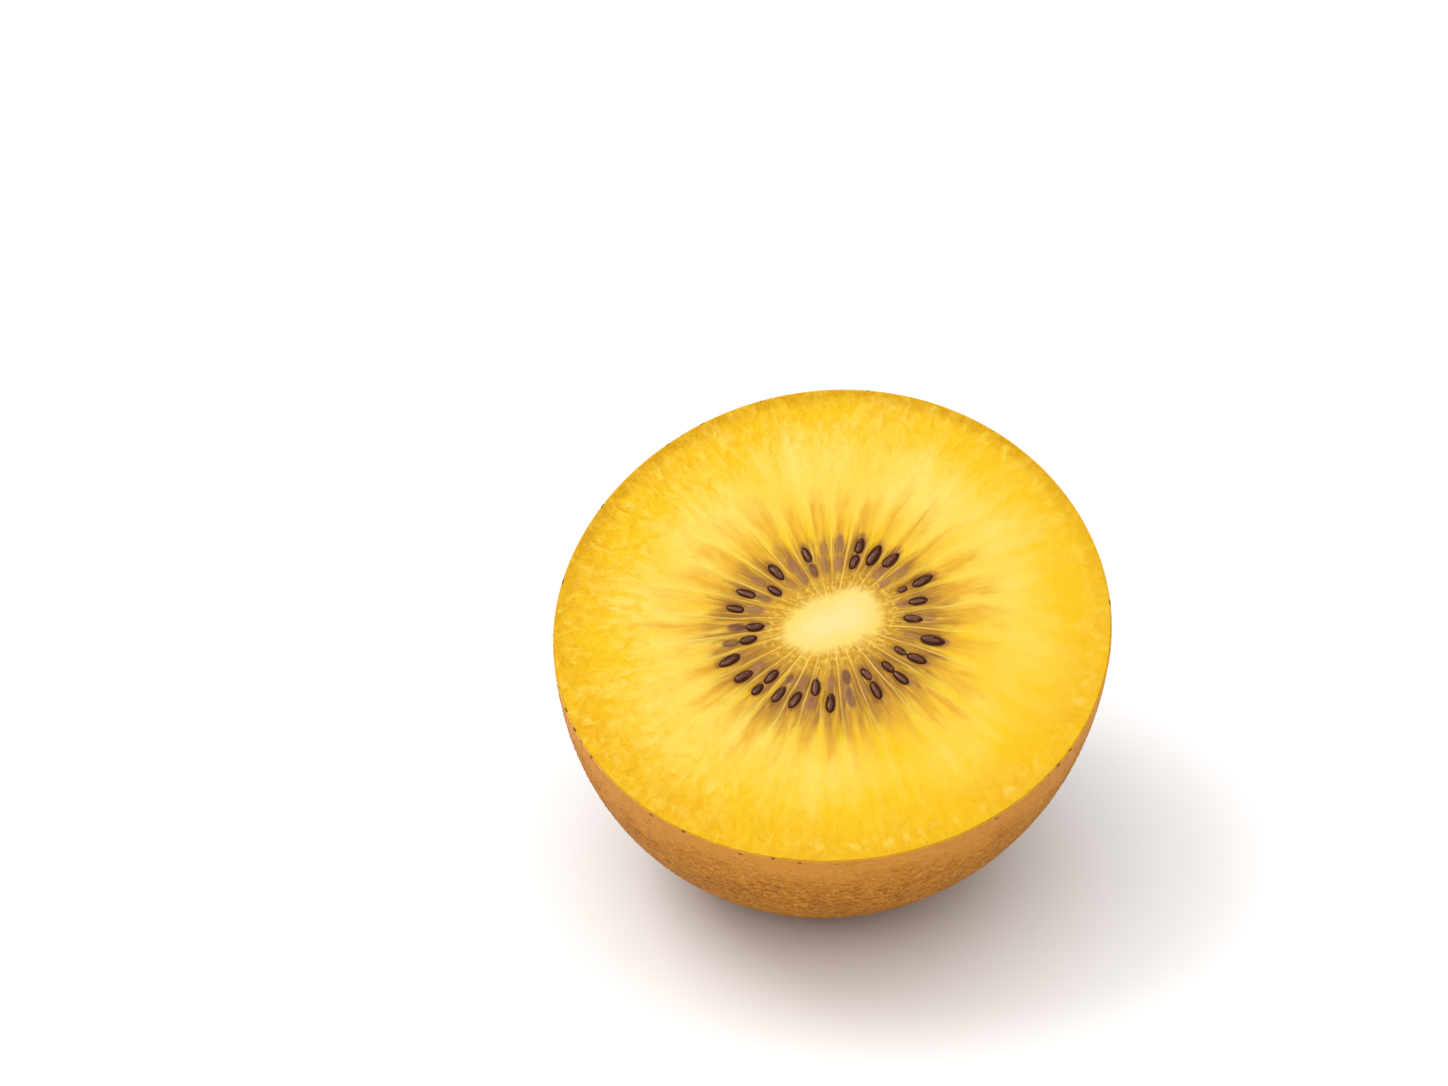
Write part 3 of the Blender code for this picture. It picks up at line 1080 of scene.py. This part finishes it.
def hair_piece(name, made, material):
    """A piece of many hairs or threads, with every point kept clear of the floor."""
    points, quads, triangles = made
    points[:, 2] = np.maximum(points[:, 2], FLOOR_CLEARANCE)
    belongs(new_piece(name, points, quads, triangles, material))


class KIWI_OT_fuzz(bpy.types.Operator):
    """Make the fuzz: short golden hairs that lie over the skin"""

    bl_idname = "kiwi.fuzz"
    bl_label = "Fuzz"

    def execute(self, context):
        shape, colours = context.scene.kiwi_shape, context.scene.kiwi_colours
        random = np.random.default_rng(5)

        def density(points):
            """Fewer hairs close to the cut."""
            return mix(0.3, 1.0, ramp(-(points - CUT.middle) @ CUT.out, 1 * MM, 9 * MM))

        roots, outward, below, beside = hairy_places(shape, random, shape.fuzz_count, 0.012, density)
        count = len(roots)
        comb = math.pi / 2 + 1.8 * smooth_noise(roots * 130, 81) + random.normal(0, 1.2, count)
        lean = below * np.cos(comb)[:, None] + beside * np.sin(comb)[:, None]
        lengths = shape.fuzz_length * random.uniform(0.5, 1.4, count)
        widths = random.uniform(0.016, 0.030, count) * MM
        made = hairs(roots, outward, lean, lengths, widths, lift=random.uniform(0.02, 0.16, count))
        material = fuzz_material("kiwi_fuzz", colours.fuzz, colours.skin_gold)
        hair_piece("fuzz", made, material)
        return {"FINISHED"}


class KIWI_OT_end_fuzz(bpy.types.Operator):
    """Make the longer, darker hairs round the blossom end"""

    bl_idname = "kiwi.end_fuzz"
    bl_label = "End fuzz"

    def execute(self, context):
        shape, colours = context.scene.kiwi_shape, context.scene.kiwi_colours
        random = np.random.default_rng(9)
        pole = blossom_pole(shape)

        def density(points):
            """All the hairs lie within a few millimetres of the end, and most lie close to it."""
            return bell(np.linalg.norm(points - pole, axis=-1), 0, 4.2 * MM)

        roots, outward, below, beside = hairy_places(shape, random, shape.end_fuzz_count, 0.9, density)
        count = len(roots)
        comb = random.normal(0.5, 0.7, count)
        lean = -below * np.cos(comb)[:, None] + beside * np.sin(comb)[:, None]
        near = bell(np.linalg.norm(roots - pole, axis=-1), 0, 4.5 * MM)
        lengths = shape.end_fuzz_length * random.uniform(0.5, 1.2, count) * mix(0.5, 1.0, near)
        widths = random.uniform(0.022, 0.040, count) * MM
        made = hairs(roots, outward, lean, lengths, widths, lift=random.uniform(0.25, 0.7, count))
        material = fuzz_material("kiwi_end_fuzz", colours.end_fuzz, colours.skin_dark)
        hair_piece("end_fuzz", made, material)
        return {"FINISHED"}


STYLE_ALONG = 9
STYLE_AROUND = 7
SCAR_RINGS = 26
SCAR_AROUND = 96
END_ROUND = 0.42  # how fast the outside falls away round the blossom end, by its radius squared


class KIWI_OT_blossom(bpy.types.Operator):
    """Make what the flower left on the blossom end: a scaly scar and a crown of dried, curled threads"""

    bl_idname = "kiwi.blossom"
    bl_label = "Blossom end"

    def execute(self, context):
        shape, colours = context.scene.kiwi_shape, context.scene.kiwi_colours
        material = dried_material(colours)
        self.scar(shape, material)
        self.styles(shape, material)
        return {"FINISHED"}

    def scar(self, shape, material):
        """A low crusty button: its edge is a wavy circle, its top a shallow dish with ridges round it, and
        its foot lies in the skin. Rings go from the top's middle out to the edge and back underneath."""
        angle = all_round(SCAR_AROUND)
        turn = np.arange(1, SCAR_RINGS + 1)[:, None] / (SCAR_RINGS + 1) * math.pi
        circle = np.stack([np.cos(angle), np.sin(angle), 0 * angle], axis=-1)
        edge = 1.9 * MM * (1 + 0.10 * layered_noise(circle * 2.5, 91, 3))
        radius = edge * np.sin(turn) ** 0.8
        side = np.cos(turn)
        x, y = turned(radius, 0.0, angle)
        rough = layered_noise(np.stack([x, y, 0 * radius], axis=-1) * 1500, 95, 3)
        rise = np.where(side > 0, 0.45, 0.5) * MM * side
        dish = np.where(side > 0, -0.30 * MM * bell(radius, 0, 0.8 * MM), 0.0)
        height = rise + dish + 0.10 * MM * rough * np.clip(side + 0.3, 0, 1) + 0.12 * MM
        depth = shape.half_length - DIMPLE_DEPTH
        rings = CUT.place(x, y, -(depth + height))
        first = CUT.place(0.0, 0.0, -(depth + 0.25 * MM))
        last = CUT.place(0.0, 0.0, -(depth - 0.35 * MM))
        belongs(ringed_piece("flower_scar", rings, first, last, material, flip=True))

    def styles(self, shape, material):
        """Threads whose middle line rises from the scar and curls over outwards: the height follows a sine
        and the distance out a power of the way along. Each tapers to a rounded end."""
        random = np.random.default_rng(13)
        count = shape.style_count

        def each(low, high):
            """A random number for each thread."""
            return random.uniform(low, high, count)[:, None, None]

        heading = (np.arange(count)[:, None, None] + each(-0.3, 0.3)) / count * 2 * math.pi
        start = each(0.5, 1.6) * MM
        reach = each(0.7, 1.7) * MM
        high = each(0.25, 0.75) * MM
        curl = each(-0.7, 0.7)
        thickest = each(0.07, 0.15) * MM
        around = all_round(STYLE_AROUND)[None, None, :]

        def tubes(way, thick):
            """Points round the middle lines at a share of the way along them, and as far off as thick."""
            out = start + reach * way**1.3
            depth = shape.half_length * (1 - END_ROUND * (out / CUT.long_half) ** 2)
            depth = depth - DIMPLE_DEPTH * bell(out, 0, DIMPLE_RADIUS)
            height = high * np.sin(way * 2.5) + 0.15 * MM + thick * np.sin(around)
            x, y = turned(out, thick * np.cos(around), heading + curl * way**2)
            return CUT.place(x, y, -(depth + height))

        way = (np.arange(1, STYLE_ALONG) / STYLE_ALONG)[None, :, None]
        sides = tubes(way, thickest * (1 - way**3) ** 0.5 * (0.6 + 0.8 * way))
        first, last = tubes(0.0, 0.0)[:, :, 0], tubes(1.0, 0.0)[:, :, 0]
        model = np.concatenate([first, sides.reshape(count, -1, 3), last], axis=1)
        made = many_copies(model, *ring_faces(STYLE_ALONG - 1, STYLE_AROUND))
        hair_piece("flower_threads", made, material)


# ---------------------------------------------------------------- stage


def area_light(name, place, aim_height, size, power):
    """A square soft light that faces a point this high over the middle of the floor."""
    data = bpy.data.lights.new(name, "AREA")
    data.shape = "SQUARE"
    data.size = size
    data.energy = power
    light = bpy.data.objects.new(name, data)
    light.location = place
    light.rotation_euler = (Vector((0, 0, aim_height)) - Vector(place)).to_track_quat("-Z", "Y").to_euler()
    bpy.context.scene.collection.objects.link(light)


class KIWI_OT_stage(bpy.types.Operator):
    """Make the floor, the soft lights and the camera"""

    bl_idname = "kiwi.stage"
    bl_label = "Stage"

    def execute(self, context):
        scene, stage = context.scene, context.scene.kiwi_stage
        half = stage.floor_size / 2
        corners = np.array([(-half, -half, 0), (half, -half, 0), (half, half, 0), (-half, half, 0)])
        face, no_triangles = np.array([(0, 1, 2, 3)]), np.zeros((0, 3), int)
        material = floor_material(scene.kiwi_colours)
        new_piece("floor", corners, face, no_triangles, material, smooth=False)

        world = bpy.data.worlds.new("studio")
        world.use_nodes = True
        background = world.node_tree.nodes["Background"]
        background.inputs["Color"].default_value = (1.0, 1.0, 1.0, 1.0)
        background.inputs["Strength"].default_value = stage.sky
        scene.world = world
        area_light("top", place=(-0.07, -0.26, 0.84), aim_height=0.02, size=1.05, power=stage.top)
        area_light("window", place=(-0.40, -0.04, 0.70), aim_height=0.03, size=0.34, power=stage.window)

        data = bpy.data.cameras.new("camera")
        data.lens = stage.lens
        camera = bpy.data.objects.new("camera", data)
        scene.collection.objects.link(camera)
        level = math.cos(stage.elevation)
        across, towards = math.sin(stage.azimuth) * level, -math.cos(stage.azimuth) * level
        back = Vector((across, towards, math.sin(stage.elevation)))
        middle = Vector(CUT.middle)
        camera.location = middle + back * stage.distance
        right = back.cross(Vector(UP)).normalized() * -1
        over = back.cross(right)
        target = middle - right * stage.aim_left + over * stage.aim_up
        camera.rotation_euler = (target - camera.location).to_track_quat("-Z", "Y").to_euler()
        data.clip_start, data.clip_end = 0.01, 10.0
        scene.camera = camera
        scene.view_settings.view_transform = "Standard"
        return {"FINISHED"}


class KIWI_PT_panel(bpy.types.Panel):
    """The kiwi's pieces and the stage, each with a button"""

    bl_idname = "KIWI_PT_panel"
    bl_label = "Golden kiwi half"
    bl_space_type = "VIEW_3D"
    bl_region_type = "UI"
    bl_category = "Kiwi"

    def draw(self, context):
        for group in (getattr(context.scene, name) for name in GROUPS):
            box = self.layout.box()
            for name in group.__annotations__:
                box.prop(group, name)
        for operator in OPERATORS:
            self.layout.operator(operator.bl_idname)


GROUPS = {"kiwi_shape": KiwiShape, "kiwi_colours": KiwiColours, "kiwi_stage": KiwiStage}
OPERATORS = (
    KIWI_OT_flesh,
    KIWI_OT_skin,
    KIWI_OT_seeds,
    KIWI_OT_fuzz,
    KIWI_OT_end_fuzz,
    KIWI_OT_blossom,
    KIWI_OT_stage,
)


def register():
    for name, group in GROUPS.items():
        bpy.utils.register_class(group)
        setattr(bpy.types.Scene, name, PointerProperty(type=group))
    for made in (*OPERATORS, KIWI_PT_panel):
        bpy.utils.register_class(made)


def unregister():
    for made in (KIWI_PT_panel, *reversed(OPERATORS)):
        bpy.utils.unregister_class(made)
    for name, group in reversed(GROUPS.items()):
        delattr(bpy.types.Scene, name)
        bpy.utils.unregister_class(group)


def main():
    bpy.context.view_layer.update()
    for obj in [o for o in bpy.data.objects if o.name in ("Cube", "Light", "Camera")]:
        bpy.data.objects.remove(obj)
    register()
    bpy.ops.kiwi.flesh()
    bpy.ops.kiwi.skin()
    bpy.ops.kiwi.seeds()
    bpy.ops.kiwi.fuzz()
    bpy.ops.kiwi.end_fuzz()
    bpy.ops.kiwi.blossom()
    bpy.ops.kiwi.stage()


if __name__ == "__main__":
    main()
